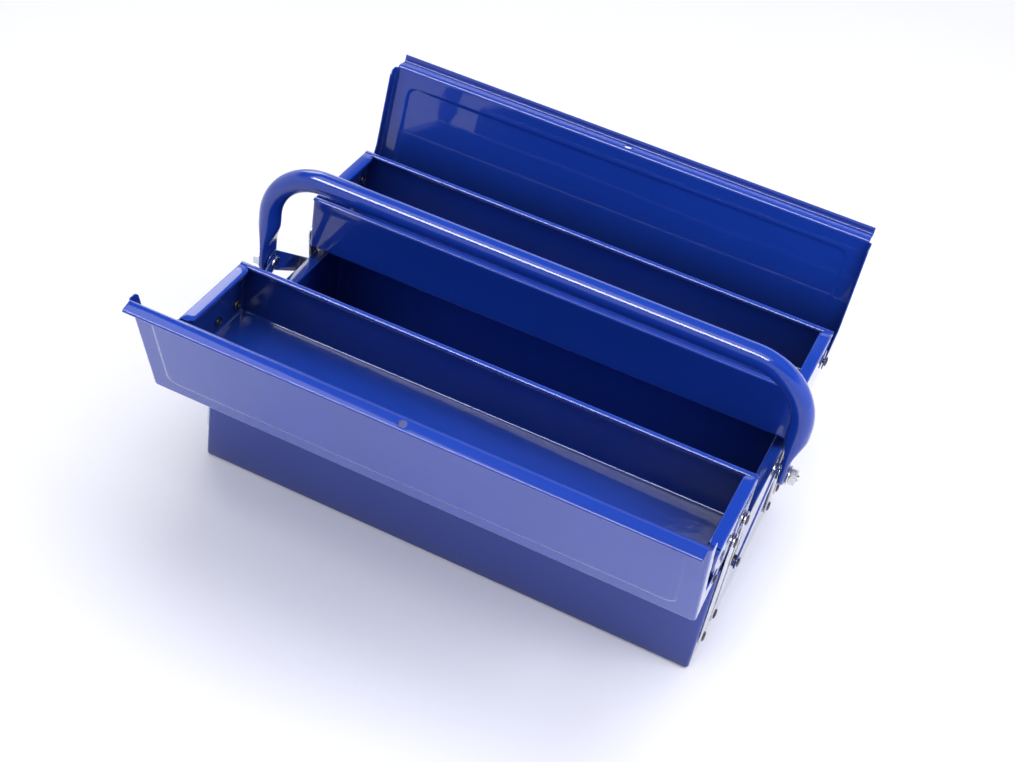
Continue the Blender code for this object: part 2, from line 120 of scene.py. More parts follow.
# Flat bars
LINK_WIDTH = 13 * MM
STRUT_WIDTH = 12 * MM
BAR_BEVEL = 0.3 * MM
PIN_HOLE = 2.3 * MM
SNUG_BORE = 3.3 * MM
EYE_BORE = 5.4 * MM
EYE_RADIUS = 8.4 * MM
EYE_SHIFT = (-0.7 * MM, 1.6 * MM)
ROUND_STEPS = 20
TURN_STEPS = 2 * ROUND_STEPS

# Rivets, pins and bolts
RIVET_RADIUS = 2 * MM
RIVET_HEAD = 4 * MM
RIVET_DOME = 1.4 * MM
DOME_STEPS = 7
STRUT_GRIP = 2.1 * MM
LINK_GRIP = 1.9 * MM
COLLAR_RADIUS = 4.5 * MM
BOLT_RADIUS = 3 * MM
BOLT_HEAD = 5.5 * MM
BOLT_HEAD_HEIGHT = 1.5 * MM
BOLT_EASE = 0.36 * MM
THREAD_LENGTH = 8 * MM
THREAD_PITCH = 1.0 * MM
THREAD_DEPTH = 0.45 * MM
WASHER_PLAY = 0.3 * MM
NUT_PLAY = 0.25 * MM
NUT_BEVEL = 0.35 * MM
NUT_STEPS = 96
NUT_FACE = 0.97
NUT_CHAMFER = math.radians(30)

# Handle
TUBE_RADIUS = 9 * MM
TUBE_SIDES = 40
TUBE_FOOT_STEPS = 26
TUBE_BEND_STEPS = 18
HANDLE_BEND = 46 * MM
FOOT_THICKNESS = 6 * MM
FOOT_WIDTH = 22 * MM
FOOT_FLAT_TO = 15 * MM
FOOT_ROUND_FROM = 38 * MM
FOOT_SQUARENESS = 0.45
FOOT_CROWDING = 1.4

# Paint
# the reach and depth of the painted shade that darkens the paint in corners
CREVICE_REACH = 110 * MM
CORNER_SHADE = 0.75
EDGE_WEAR_RADIUS = 0.6 * MM
CROWN_WEAR_RADIUS = 0.35 * MM

# Stage
FLOOR = 30.0
FLOOR_GLOW = (0.9, 0.92, 1.0, 1)
GLOW_FROM = 1.2
GLOW_TO = 3.4
NEAR_GLOW = 0.10
FAR_GLOW = 0.60
ROOM_COLOUR = (0.88, 0.91, 1.0, 1)
ROOM_LIGHT = 0.32
WALLS_SEEN = 0.9
WALL_TOP = (0.42, 0.56)
WALLS_MIRRORED = 1.15
ROOF_MIRRORED = 0.06
LENS = 57
SENSOR_WIDTH = 36
CAMERA_PLACE = Vector((0.2886, -0.9248, 0.906))
CAMERA_ROLL = math.radians(11.2)


# ---------------------------------------------------------------- materials


def plug(tree, socket, value):
    """Gives an input its value, or links it to the output socket that feeds it."""
    if isinstance(value, bpy.types.NodeSocket):
        tree.links.new(value, socket)
    else:
        socket.default_value = value


def add_node(tree, kind, inputs=None, **settings):
    """A shader node; an input's key is its name or its number."""
    node = tree.nodes.new(kind)
    for key, value in settings.items():
        setattr(node, key, value)
    for key, value in (inputs or {}).items():
        plug(tree, node.inputs[key], value)
    return node


def new_material(name):
    material = bpy.data.materials.new(name)
    material.use_nodes = True
    tree = material.node_tree
    return material, tree, tree.nodes["Principled BSDF"]


def feed(tree, shader, **inputs):
    """Feeds the shader's inputs; an underscore in a name stands for a space."""
    for key, value in inputs.items():
        plug(tree, shader.inputs[key.replace("_", " ")], value)


def place_coords(tree, scale=(1, 1, 1)):
    coords = add_node(tree, "ShaderNodeTexCoord").outputs["Object"]
    return add_node(tree, "ShaderNodeMapping", {"Vector": coords, "Scale": scale}).outputs[0]


def noise_of(tree, scale, detail=2.0, stretch=(1, 1, 1), roughness=0.5):
    inputs = {
        "Vector": place_coords(tree, stretch),
        "Scale": scale,
        "Detail": detail,
        "Roughness": roughness,
    }
    return add_node(tree, "ShaderNodeTexNoise", inputs).outputs["Fac"]


def ranged(tree, value, low, high, to_low, to_high):
    inputs = {"Value": value, "From Min": low, "From Max": high, "To Min": to_low, "To Max": to_high}
    return add_node(tree, "ShaderNodeMapRange", inputs).outputs[0]


def math_of(tree, operation, first, second):
    return add_node(tree, "ShaderNodeMath", {0: first, 1: second}, operation=operation).outputs[0]


def mix_colour(tree, share, first, second):
    """The first colour where the share is 0 and the second where it is 1."""
    return add_node(tree, "ShaderNodeMix", {0: share, 6: first, 7: second}, data_type="RGBA").outputs[2]


def mix_value(tree, share, first, second):
    return add_node(tree, "ShaderNodeMix", {0: share, 2: first, 3: second}, data_type="FLOAT").outputs[0]


def bump_of(tree, height, strength, distance, normal=None):
    inputs = {"Height": height, "Strength": strength, "Distance": distance}
    if normal is not None:
        inputs["Normal"] = normal
    return add_node(tree, "ShaderNodeBump", inputs).outputs[0]


def edge_share(tree, radius):
    """Near 1 along sharp outer edges and 0 on flat sheet."""
    round_normal = add_node(tree, "ShaderNodeBevel", {"Radius": radius}, samples=4).outputs[0]
    flat_normal = add_node(tree, "ShaderNodeNewGeometry").outputs["Normal"]
    inputs = {0: round_normal, 1: flat_normal}
    likeness = add_node(tree, "ShaderNodeVectorMath", inputs, operation="DOT_PRODUCT").outputs["Value"]
    return ranged(tree, likeness, 0.995, 0.80, 0.0, 1.0)


def upward_share(tree):
    """1 on faces that look up, where dust settles."""
    normal = add_node(tree, "ShaderNodeNewGeometry").outputs["Normal"]
    height = add_node(tree, "ShaderNodeSeparateXYZ", {"Vector": normal}).outputs["Z"]
    return ranged(tree, height, 0.6, 0.95, 0.0, 1.0)


def corner_shade_share(tree):
    """Painted shade: its full share in deep corners and close to other surfaces, found by ambient occlusion,
    fading to 0 on open sheet.
    """
    inputs = {"Distance": CREVICE_REACH}
    openness = add_node(tree, "ShaderNodeAmbientOcclusion", inputs, samples=8).outputs["AO"]
    return ranged(tree, openness, 0.3, 0.85, CORNER_SHADE, 0.0)


def paint_colour(tree):
    """Blue with slow clouds, paler where it is thin on edges, dusty on top, and darkened with painted shade in
    corners.
    """
    deep = (0.007, 0.036, 0.31, 1)
    light = (0.010, 0.054, 0.43, 1)
    thin = (0.03, 0.11, 0.52, 1)
    dusty = (0.05, 0.08, 0.28, 1)
    # the dark colour of the painted shade in corners
    shade_colour = (0.005, 0.010, 0.05, 1)
    clouds = noise_of(tree, 14, detail=4)
    colour = mix_colour(tree, ranged(tree, clouds, 0.3, 0.7, 0.38, 0.62), deep, light)
    worn = math_of(tree, "MULTIPLY", edge_share(tree, EDGE_WEAR_RADIUS), 0.45)
    colour = mix_colour(tree, worn, colour, thin)
    specks = ranged(tree, noise_of(tree, 260, detail=5, roughness=0.7), 0.56, 0.74, 0.0, 0.5)
    patches = ranged(tree, noise_of(tree, 22, detail=3), 0.42, 0.66, 0.0, 0.5)
    dust = math_of(tree, "MULTIPLY", upward_share(tree), math_of(tree, "MULTIPLY", specks, patches))
    colour = mix_colour(tree, math_of(tree, "MULTIPLY", dust, 0.4), colour, dusty)
    # painted shade: darkens the paint where ambient occlusion finds corners or nearby surfaces
    return mix_colour(tree, corner_shade_share(tree), colour, shade_colour)


def make_paint():
    """Glossy ultramarine enamel under a clear coat, with orange peel, smears and fine scuffs."""
    material, tree, shader = new_material("blue_enamel")
    scuffs = ranged(tree, noise_of(tree, 90, detail=6, stretch=(1, 5, 5), roughness=0.6), 0.56, 0.90, 0, 1)
    smears = ranged(tree, noise_of(tree, 30, detail=5), 0.35, 0.7, 0.0, 1.0)
    scuffed = math_of(tree, "MULTIPLY", scuffs, 0.02)
    coat_scuffed = math_of(tree, "MULTIPLY", scuffs, 0.006)
    peel = bump_of(tree, noise_of(tree, 330, detail=2), 0.22, 0.05 * MM)
    peel = bump_of(tree, noise_of(tree, 75, detail=1), 0.25, 0.12 * MM, peel)
    feed(
        tree,
        shader,
        Base_Color=paint_colour(tree),
        Roughness=math_of(tree, "ADD", ranged(tree, smears, 0, 1, 0.17, 0.25), scuffed),
        IOR=1.5,
        Specular_IOR_Level=0.15,
        Coat_Weight=1.0,
        Coat_Roughness=math_of(tree, "ADD", ranged(tree, smears, 0, 1, 0.012, 0.03), coat_scuffed),
        Coat_IOR=1.47,
        Normal=peel,
        Coat_Normal=peel,
    )
    return material


def make_zinc():
    """Bright zinc plate: drawn along the bar, with a faint blue passivation bloom."""
    material, tree, shader = new_material("bright_zinc")
    grain = noise_of(tree, 500, detail=5, stretch=(1, 1, 0.04), roughness=0.7)
    bloom = ranged(tree, noise_of(tree, 45, detail=4), 0.35, 0.65, 0.0, 1.0)
    colour = mix_colour(tree, bloom, (0.58, 0.60, 0.66, 1), (0.70, 0.70, 0.70, 1))
    stains = ranged(tree, noise_of(tree, 160, detail=6, roughness=0.7), 0.55, 0.75, 0.0, 0.5)
    colour = mix_colour(tree, stains, colour, (0.36, 0.37, 0.40, 1))
    stained = math_of(tree, "MULTIPLY", stains, 0.2)
    rough = math_of(tree, "ADD", ranged(tree, grain, 0.3, 0.7, 0.18, 0.34), stained)
    bump = bump_of(tree, grain, 0.3, 0.03 * MM)
    feed(tree, shader, Base_Color=colour, Metallic=1.0, Roughness=rough, Normal=bump)
    return material


def make_dark_steel():
    """Dark plated rivets: rubbed bright on their crowns, mottled in colour and roughness."""
    material, tree, shader = new_material("dark_plated_steel")
    mottle = ranged(tree, noise_of(tree, 380, detail=5, roughness=0.7), 0.35, 0.7, 0.0, 1.0)
    colour = mix_colour(tree, mottle, (0.05, 0.05, 0.065, 1), (0.15, 0.15, 0.17, 1))
    rubbed = math_of(tree, "MULTIPLY", edge_share(tree, CROWN_WEAR_RADIUS), 0.6)
    colour = mix_colour(tree, rubbed, colour, (0.5, 0.5, 0.53, 1))
    rough = ranged(tree, mottle, 0, 1, 0.50, 0.36)
    bump = bump_of(tree, mottle, 0.25, 0.04 * MM)
    feed(tree, shader, Base_Color=colour, Metallic=1.0, Roughness=rough, Normal=bump)
    return material


# ---------------------------------------------------------------- mesh helpers


def mesh_piece(name, form, matrix=None):
    """A mesh object from a bmesh, in the box's frame unless a matrix places it."""
    mesh = bpy.data.meshes.new(name)
    form.normal_update()
    form.to_mesh(mesh)
    form.free()
    obj = bpy.data.objects.new(name, mesh)
    bpy.context.scene.collection.objects.link(obj)
    obj.matrix_world = matrix or Matrix.Identity(4)
    return obj


def add_modifier(obj, kind, **settings):
    modifier = obj.modifiers.new(kind.lower(), kind)
    for key, value in settings.items():
        setattr(modifier, key, value)


def give_thickness(obj, offset):
    """Turns a sheet's surface into a closed sheet with eased edges."""
    add_modifier(obj, "SOLIDIFY", thickness=SHEET, offset=offset, use_even_offset=True)
    add_modifier(obj, "BEVEL", width=EDGE_BEVEL, segments=2, limit_method="ANGLE", angle_limit=EDGE_ANGLE)


def baked(obj):
    """Replaces the object by its evaluated mesh, placed in the box's own frame."""
    bpy.context.view_layer.update()
    name, matrix = obj.name, obj.matrix_world.copy()
    evaluated = obj.evaluated_get(bpy.context.evaluated_depsgraph_get())
    mesh = bpy.data.meshes.new_from_object(evaluated)
    bpy.data.objects.remove(obj)
    mesh.name = name
    mesh.transform(matrix)
    made = bpy.data.objects.new(name, mesh)
    bpy.context.scene.collection.objects.link(made)
    return made


def finish_piece(obj, body, material, node):
    """Bakes, smooths and paints a piece, and lets it ride on its body in place of its node."""
    obj = baked(obj)
    obj.data.shade_smooth()
    obj.data.set_sharp_from_angle(angle=SMOOTH_ANGLE)
    obj.data.materials.clear()
    obj.data.materials.append(material)
    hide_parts(node)
    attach(obj, body)


def pivot(joint):
    return Vector(JOINTS[joint]["pos_m"])


def upright(low, high):
    """A frame at low whose Z points at high and whose X is the box's length."""
    z = (high - low).normalized()
    x = Vector((1, 0, 0))
    matrix = Matrix((x, z.cross(x), z)).transposed().to_4x4()
    matrix.translation = low
    return matrix


def arc(centre, radius, start, end, steps):
    """Points of an arc in a plane; the angles are in radians."""
    angles = [start + (end - start) * i / steps for i in range(steps + 1)]
    return [(centre[0] + radius * math.cos(a), centre[1] + radius * math.sin(a)) for a in angles]


def circle(centre, radius):
    return arc(centre, radius, 0, 2 * math.pi, TURN_STEPS)[:-1]


def grid_faces(form, rows, closed=False):
    """Joins rows of vertices with quads."""
    for first, second in zip(rows, rows[1:]):
        count = len(first)
        for i in range(count if closed else count - 1):
            j = (i + 1) % count
            form.faces.new((first[i], first[j], second[j], second[i]))


def turned(name, profile, matrix):
    """A turned piece about local Z from its (radius, height) outline, listed from the top down."""
    form = bmesh.new()
    rows = []
    for radius, height in profile:
        if radius == 0:
            rows.append(form.verts.new((0, 0, height)))
            continue
        ring = circle((0, 0), radius)
        rows.append([form.verts.new((x, y, height)) for x, y in ring])
    for first, second in zip(rows, rows[1:]):
        if isinstance(first, list) and isinstance(second, list):
            grid_faces(form, [first, second], closed=True)
            continue
        tip, ring = (second, first) if isinstance(first, list) else (first, second)
        for i in range(TURN_STEPS):
            form.faces.new((tip, ring[i], ring[(i + 1) % TURN_STEPS]))
    bmesh.ops.recalc_face_normals(form, faces=form.faces)
    return mesh_piece(name, form, matrix)


def graded(low, high, zones, fine, coarse):
    """Places from low to high that lie close together inside the zones."""
    places = [low]
    while high - places[-1] > fine / 2:
        here = places[-1]
        step = fine if any(a <= here + fine / 4 < b for a, b in zones) else coarse
        starts = [a for a, b in zones if here + fine / 4 < a < here + step]
        places.append(min([here + step, high] + starts))
    places[-1] = high
    return places


# ---------------------------------------------------------------- compartments


def slice_grid(form, axis, places):
    """Cuts the sheet along planes across one axis."""
    normal = Vector((0, 0, 0))
    normal[axis] = 1
    for place in places:
        geometry = form.verts[:] + form.edges[:] + form.faces[:]
        bmesh.ops.bisect_plane(form, geom=geometry, dist=WELD, plane_co=normal * place, plane_no=normal)


def evenly(low, high, step):
    """The places between low and high that split the way into equal steps near this one."""
    count = max(1, round((high - low) / step))
    return [low + (high - low) * i / count for i in range(1, count)]


def wave_sheet(form, half, height, seed):
    """Pressed sheet is never flat: a slow wave of a fraction of a millimetre, still at the folds."""
    form.normal_update()
    moves = {}
    for vert in form.verts:
        x, y, z = vert.co
        room = sorted((half.x - abs(x), half.y - abs(y), min(z, height - z)))[1]
        fade = min(1.0, max(0.0, room / WAVE_FADE))
        wave = noise.noise(vert.co / WAVE_SIZE + Vector((seed, seed, seed)))
        moves[vert] = vert.normal * (WAVE * wave * fade)
    for vert, move in moves.items():
        vert.co += move


def fold_over(form, edges, inward, path, end_x=None, end_y=None):
    """Extrudes rim edges through a path of (inwards, up) places.

    end_x stretches the ends to it; end_y cuts the far corners off a flange that ends there.
    """
    for (in_0, up_0), (in_1, up_1) in zip(path, path[1:]):
        made = bmesh.ops.extrude_edge_only(form, edges=edges)["geom"]
        moved = {item for item in made if isinstance(item, bmesh.types.BMVert)}
        step = inward * (in_1 - in_0) + Vector((0, 0, up_1 - up_0))
        for vert in moved:
            vert.co += step
            if end_x and end_x - abs(vert.co.x) < FOLD_RADIUS + HEM_SHORT:
                vert.co.x = math.copysign(end_x, vert.co.x)
            if end_y:
                reach = end_y - max(0.0, in_1 - END_FLANGE + FLANGE_CORNER)
                vert.co.y = max(-reach, min(reach, vert.co.y))
        edges = [
            item
            for item in made
            if isinstance(item, bmesh.types.BMEdge) and item.verts[0] in moved and item.verts[1] in moved
        ]


def rim_edges(form, test):
    """The open edges whose two ends both pass the test."""
    return [edge for edge in form.edges if edge.is_boundary and all(test(vert.co) for vert in edge.verts)]


def hem_path():
    """A pressed roll: over the top and round, back to the wall."""
    steps = [HEM_TURN * i / HEM_STEPS for i in range(HEM_STEPS + 1)]
    return [(HEM_WIDTH / 2 * (1 - math.cos(t)), HEM_HEIGHT / 2 * math.sin(t)) for t in steps]


def flange_path():
    """Up the end wall, inwards along a flat flange and down a short lip."""
    bend = FLANGE_BEND
    rise = HEM_HEIGHT / 2 - bend
    quarter = [math.pi / 2 * i / BEND_STEPS for i in range(BEND_STEPS + 1)]
    path = [(0, 0)] + [(bend * (1 - math.cos(t)), rise + bend * math.sin(t)) for t in quarter]
    path += [(END_FLANGE - FLANGE_CORNER, HEM_HEIGHT / 2)]
    path += [(END_FLANGE - bend + bend * math.sin(t), rise + bend * math.cos(t)) for t in quarter]
    return path + [(END_FLANGE, rise - FLANGE_LIP)]


def open_box(half, wall_top):
    """A box without a lid and with rounded folds, its floor's middle at the origin."""
    form = bmesh.new()
    size = Matrix.Diagonal((2 * half.x, 2 * half.y, wall_top, 1))
    bmesh.ops.create_cube(form, size=1.0, matrix=Matrix.Translation((0, 0, wall_top / 2)) @ size)
    top = [face for face in form.faces if face.normal.z > 0.5]
    rim = set(top[0].edges)
    bmesh.ops.delete(form, geom=top, context="FACES_ONLY")
    folds = [edge for edge in form.edges if edge not in rim]
    bmesh.ops.bevel(form, geom=folds, offset=FOLD_RADIUS, segments=FOLD_STEPS, profile=0.5, affect="EDGES")
    return form


def fold_rims(form, half, wall_top, flange_half):
    """Flanges along the two end walls, then rolled hems along the two long walls."""
    for way in (-1, 1):
        end = way * half.x
        edges = rim_edges(
            form, lambda co: abs(co.x - end) < SAME_PLACE and abs(co.y) < flange_half + SAME_PLACE
        )
        fold_over(form, edges, Vector((-way, 0, 0)), flange_path(), end_y=flange_half)
        side = way * half.y
        edges = rim_edges(
            form, lambda co: abs(co.y - side) < SAME_PLACE and abs(co.z - wall_top) < SAME_PLACE
        )
        fold_over(form, edges, Vector((0, -way, 0)), hem_path(), end_x=half.x - HEM_SHORT)


def turn_outwards(form):
    """Makes every face of the open sheet look away from its inside."""
    bmesh.ops.recalc_face_normals(form, faces=form.faces)
    floor = min(form.faces, key=lambda face: face.calc_center_median().z)
    if floor.normal.z > 0:
        bmesh.ops.reverse_faces(form, faces=form.faces)


def make_compartment(name, body, node, seed):
    """A folded sheet box open at the top: rolled hems on its long sides, flat flanges on its ends."""
    low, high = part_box(node)
    centre = (low + high) / 2
    half = (high - low) / 2
    wall_top = high.z - low.z - HEM_HEIGHT / 2
    flange_half = half.y - HEM_WIDTH - FLANGE_CLEAR
    inset = 2 * FOLD_RADIUS
    form = open_box(half, wall_top)
    slice_grid(form, 0, evenly(-half.x + inset, half.x - inset, GRID))
    slice_grid(form, 1, [-flange_half] + evenly(-flange_half, flange_half, GRID) + [flange_half])
    slice_grid(form, 2, evenly(inset, wall_top, GRID))
    wave_sheet(form, half, wall_top, seed)
    fold_rims(form, half, wall_top, flange_half)
    turn_outwards(form)
    obj = mesh_piece(name, form, Matrix.Translation((centre.x, centre.y, low.z)))
    give_thickness(obj, offset=-1)
    finish_piece(obj, body, PAINT, node)


# ---------------------------------------------------------------- lids


def lid_frame(side):
    """The lid's closed frame at the open pose: origin on the hinge, Y inwards, Z up when closed."""
    joint = JOINTS[f"{side}_lid_hinge"]
    axis = Vector(joint["axis"])
    opened = math.radians(joint["range_deg"][1])
    turn = Matrix.Rotation(0 if side == "front" else math.pi, 4, "Z")
    return Matrix.Translation(pivot(joint["name"])) @ Matrix.Rotation(-opened, 4, axis) @ turn


def closed_box(node, matrix):
    """A node's lowest and highest corner in another frame."""
    back = matrix.inverted()
    points = [back @ vert.co for vert in frame["nodes"][node].data.vertices]
    low = Vector([min(point[i] for point in points) for i in range(3)])
    high = Vector([max(point[i] for point in points) for i in range(3)])
    return low, high


def lid_profile(side, outer, inner, tip, top):
    """The sheet's middle line as (inwards, up), and where its flat panel starts and ends."""
    half, bend, steps = SHEET / 2, LID_BEND, BEND_STEPS
    skirt, panel, ridge = outer + half, top - half, inner - half
    up, left, right = math.pi / 2, math.pi, 0
    path = [(skirt, top - LID_SKIRT), (skirt, panel - LID_SKIRT / 2)]
    path += arc((skirt + bend, panel - bend), bend, left, up, steps)
    first = len(path) - 1
    span = ridge - bend - (skirt + bend)
    zones = [(0, EMBOSS_ZONE), (span - EMBOSS_ZONE, span)]
    for place in graded(0, span, zones, FINE, GRID)[1:-1]:
        path.append((skirt + bend + place, panel))
    last = len(path)
    path += arc((ridge - bend, panel + bend), bend, -up, right, steps)
    if side == "front":
        hem, edge = RIDGE_HEM, top + LID_RIDGE - half
        path += arc((ridge - hem, edge - hem), hem, right, left, 2 * steps)
        path.append((ridge - 2 * hem, edge - hem - RIDGE_HEM_DEPTH))
    else:
        edge = top + LID_RIDGE + LID_LIP_ABOVE - half
        path += arc((ridge + bend, edge - bend), bend, left, up, steps)
        path.append(((ridge + tip) / 2, edge))
        path.append((tip, edge))
    return path, first, last


def emboss_height(x, y, centre_y, half_x, half_y):
    """The raised field of a lid: a rounded rectangle with a soft slope round it."""
    corner = EMBOSS_CORNER
    dx = max(0.0, abs(x) - (half_x - corner))
    dy = max(0.0, abs(y - centre_y) - (half_y - corner))
    inside = corner - math.hypot(dx, dy)
    if dx == 0 and dy == 0:
        inside = min(half_x - abs(x), half_y - abs(y - centre_y))
    share = min(1.0, max(0.0, inside / EMBOSS_SLOPE))
    return EMBOSS_RISE * share * share * (3 - 2 * share)


def ear_edge(y, top, far):
    """The lower edge of a lid's end flange: down round the hinge pin, rounded off at the far end."""
    skirt = top - LID_SKIRT
    corner = y - (far - SKIRT_CORNER)
    if corner > 0:
        return skirt + SKIRT_CORNER - math.sqrt(max(0.0, SKIRT_CORNER**2 - corner**2))
    if y < EAR_RADIUS:
        return -math.sqrt(max(0.0, EAR_RADIUS**2 - y**2))
    if y < EAR_FLARE:
        return skirt * (y - EAR_RADIUS) / (EAR_FLARE - EAR_RADIUS)
    return skirt


def lid_rows(form, xs, path, first, last, flat_x, seed):
    """The folded outline repeated along the lid, with its panel raised and gently waved."""
    panel_low, panel_high = path[first][0], path[last][0]
    centre_y = (panel_low + panel_high) / 2
    half_y = (panel_high - panel_low) / 2 - EMBOSS_MARGIN
    rows = []
    for x in xs:
        row = []
        for index, (y, z) in enumerate(path):
            if first <= index <= last:
                z += emboss_height(x, y, centre_y, flat_x - EMBOSS_MARGIN, half_y)
                room = min(flat_x - abs(x), y - panel_low, panel_high - y)
                fade = min(1.0, max(0.0, room / WAVE_FADE))
                z += WAVE * fade * noise.noise(Vector((x, y, seed * MM)) / WAVE_SIZE + Vector((seed, 0, 0)))
            row.append(form.verts.new((x, y, z)))
        rows.append(row)
    return rows


def end_flange(form, edge, way, edge_x, top):
    """Bends the panel's end down into a flange that reaches round the hinge pin."""
    far = edge[-1].co.y
    columns = [edge]
    for t in [math.pi / 2 * i / BEND_STEPS for i in range(1, BEND_STEPS + 1)]:
        x = way * (edge_x - LID_BEND + LID_BEND * math.sin(t))
        drop = LID_BEND * (1 - math.cos(t))
        columns.append([form.verts.new((x, vert.co.y, vert.co.z - drop)) for vert in edge])
    bent = columns[-1]
    for share in EAR_ROWS:
        line = []
        for vert in bent:
            z = vert.co.z + (ear_edge(vert.co.y, top, far) - vert.co.z) * share
            line.append(form.verts.new((way * edge_x, vert.co.y, z)))
        columns.append(line)
    grid_faces(form, columns)


def make_lid(side, seed):
    """A lid of one sheet: skirt, embossed panel, upstanding ridge and end flanges with ears."""
    matrix = lid_frame(side)
    low, high = closed_box(f"{side}_lid", matrix)
    top = high.z - LID_RIDGE - (0 if side == "front" else LID_LIP_ABOVE)
    inner = high.y if side == "front" else high.y - LIP_REACH
    path, first, last = lid_profile(side, low.y, inner, high.y, top)
    edge_x = high.x - SHEET / 2
    flat_x = edge_x - LID_BEND
    zones = [(-flat_x, -flat_x + EMBOSS_ZONE), (flat_x - EMBOSS_ZONE, flat_x)]
    form = bmesh.new()
    rows = lid_rows(form, graded(-flat_x, flat_x, zones, FINE, GRID), path, first, last, flat_x, seed)
    grid_faces(form, rows)
    end_flange(form, rows[0][first : last + 1], -1, edge_x, top)
    end_flange(form, rows[-1][first : last + 1], 1, edge_x, top)
    bmesh.ops.recalc_face_normals(form, faces=form.faces)
    obj = mesh_piece(f"{side}_lid_panel", form, matrix)
    give_thickness(obj, offset=0)
    cutter = padlock_cutter(side, matrix, Vector((0, inner - SHEET / 2, top + LID_RIDGE / 2)))
    add_modifier(obj, "BOOLEAN", object=cutter, operation="DIFFERENCE", solver="EXACT")
    finish_piece(obj, f"{side}_lid", PAINT, f"{side}_lid")
    bpy.data.objects.remove(cutter)


def padlock_cutter(side, matrix, centre):
    """A round bar through the ridge, to cut the padlock's hole with."""
    turn = Matrix.Rotation(math.pi / 2, 4, "X")
    form = bmesh.new()
    size = {"radius1": PADLOCK_HOLE, "radius2": PADLOCK_HOLE, "depth": CUTTER_DEPTH}
    bmesh.ops.create_cone(form, cap_ends=True, segments=32, **size)
    cutter = mesh_piece(f"{side}_padlock_cutter", form, matrix @ Matrix.Translation(centre) @ turn)
    cutter.hide_render = True
    return cutter


# ---------------------------------------------------------------- bars, rivets and bolts


def bar_outline(length, start_radius, end_radius, tilt=0.0):
    """A bar from (0, 0) with round ends and straight sides that touch both."""
    flare = math.asin((end_radius - start_radius) / length)
    up = math.pi / 2
    points = arc((0, 0), start_radius, up + flare, 3 * up - flare, ROUND_STEPS)
    points += arc((length, 0), end_radius, -up - flare, up + flare, ROUND_STEPS)
    cos, sin = math.cos(tilt), math.sin(tilt)
    return [(x * cos - y * sin, x * sin + y * cos) for x, y in points]


def plate(name, outlines, thickness, matrix):
    """A flat plate with eased edges, from closed outlines in the frame's XY plane."""
    curve = bpy.data.curves.new(name, "CURVE")
    curve.dimensions = "2D"
    curve.fill_mode = "BOTH"
    curve.extrude = thickness / 2 - BAR_BEVEL
    curve.bevel_depth = BAR_BEVEL
    curve.bevel_resolution = 2
    curve.offset = -BAR_BEVEL
    for outline in outlines:
        spline = curve.splines.new("POLY")
        spline.points.add(len(outline) - 1)
        for point, (x, y) in zip(spline.points, outline):
            point.co = (x, y, 0, 1)
        spline.use_cyclic_u = True
    obj = bpy.data.objects.new(name, curve)
    bpy.context.scene.collection.objects.link(obj)
    obj.matrix_world = matrix
    return welded(baked(obj))


def welded(obj):
    """Joins the loose caps of a baked curve to its sides."""
    form = bmesh.new()
    form.from_mesh(obj.data)
    bmesh.ops.remove_doubles(form, verts=form.verts, dist=WELD)
    bmesh.ops.recalc_face_normals(form, faces=form.faces)
    form.to_mesh(obj.data)
    form.free()
    return obj


def bar_matrix(low, high, node):
    """A bar's own frame at the node's layer: X along the bar and Z outwards along the length."""
    box_low, box_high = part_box(node)
    stand = upright(low, high)
    stand.translation.x = (box_low.x + box_high.x) / 2
    return stand @ Matrix.Rotation(-math.pi / 2, 4, "Y")


def thickness_of(node):
    low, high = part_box(node)
    return high.x - low.x


def make_links():
    """Each tray end's two swing links; the inner one also has the strut's hole."""
    for side in SIDES:
        inner_joint = {"front": "tray_swing", "back": "back_link_swing"}[side]
        foot = pivot(inner_joint)
        reach = pivot(f"{side}_tray_level") - foot
        strut_at = (pivot(f"{side}_strut_swing") - foot).length
        for which, joint in (("inner", inner_joint), ("outer", f"{side}_outer_link_swing")):
            low = pivot(joint)
            spots = [0, strut_at, reach.length] if which == "inner" else [0, reach.length]
            outlines = [bar_outline(reach.length, LINK_WIDTH / 2, LINK_WIDTH / 2)]
            outlines += [circle((spot, 0), PIN_HOLE) for spot in spots]
            for end in ENDS:
                node = f"{side}_{which}_link_{end}"
                place = bar_matrix(low, low + reach, node)
                obj = plate(f"{node}_bar", outlines, thickness_of(node), place)
                finish_piece(obj, f"{side}_{which}_links", ZINC, node)


def strut_outlines(side, length):
    """The front strut fits the handle's bolt; the back strut has a wide eye beside its line."""
    if side == "front":
        outline = bar_outline(length, STRUT_WIDTH / 2, STRUT_WIDTH / 2)
        return [outline, circle((0, 0), PIN_HOLE), circle((length, 0), SNUG_BORE)]
    along, across = EYE_SHIFT
    reach = math.hypot(length + along, across)
    tilt = math.atan2(across, length + along)
    outline = bar_outline(reach, STRUT_WIDTH / 2, EYE_RADIUS, tilt)
    return [outline, circle((0, 0), PIN_HOLE), circle((length + along, across), EYE_BORE)]


def make_struts():
    """The painted bars that carry the handle on the inner links."""
    bolt = pivot("handle_level")
    for side in SIDES:
        knee = pivot(f"{side}_strut_swing")
        outlines = strut_outlines(side, (bolt - knee).length)
        for end in ENDS:
            node = f"{side}_strut_{end}"
            obj = plate(f"{node}_bar", outlines, thickness_of(node), bar_matrix(knee, bolt, node))
            finish_piece(obj, f"{side}_struts", PAINT, node)


def outward(node, way):
    """A frame on the node's axis, in the middle of the length, with Z towards this end."""
    low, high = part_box(node)
    centre = (low + high) / 2
    return Matrix.Translation((0, centre.y, centre.z)) @ Matrix.Rotation(way * math.pi / 2, 4, "Y")


def reach_of(node):
    """How near to the middle of the length the node starts, and how far out it ends."""
    low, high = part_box(node)
    return sorted((abs(low.x), abs(high.x)))


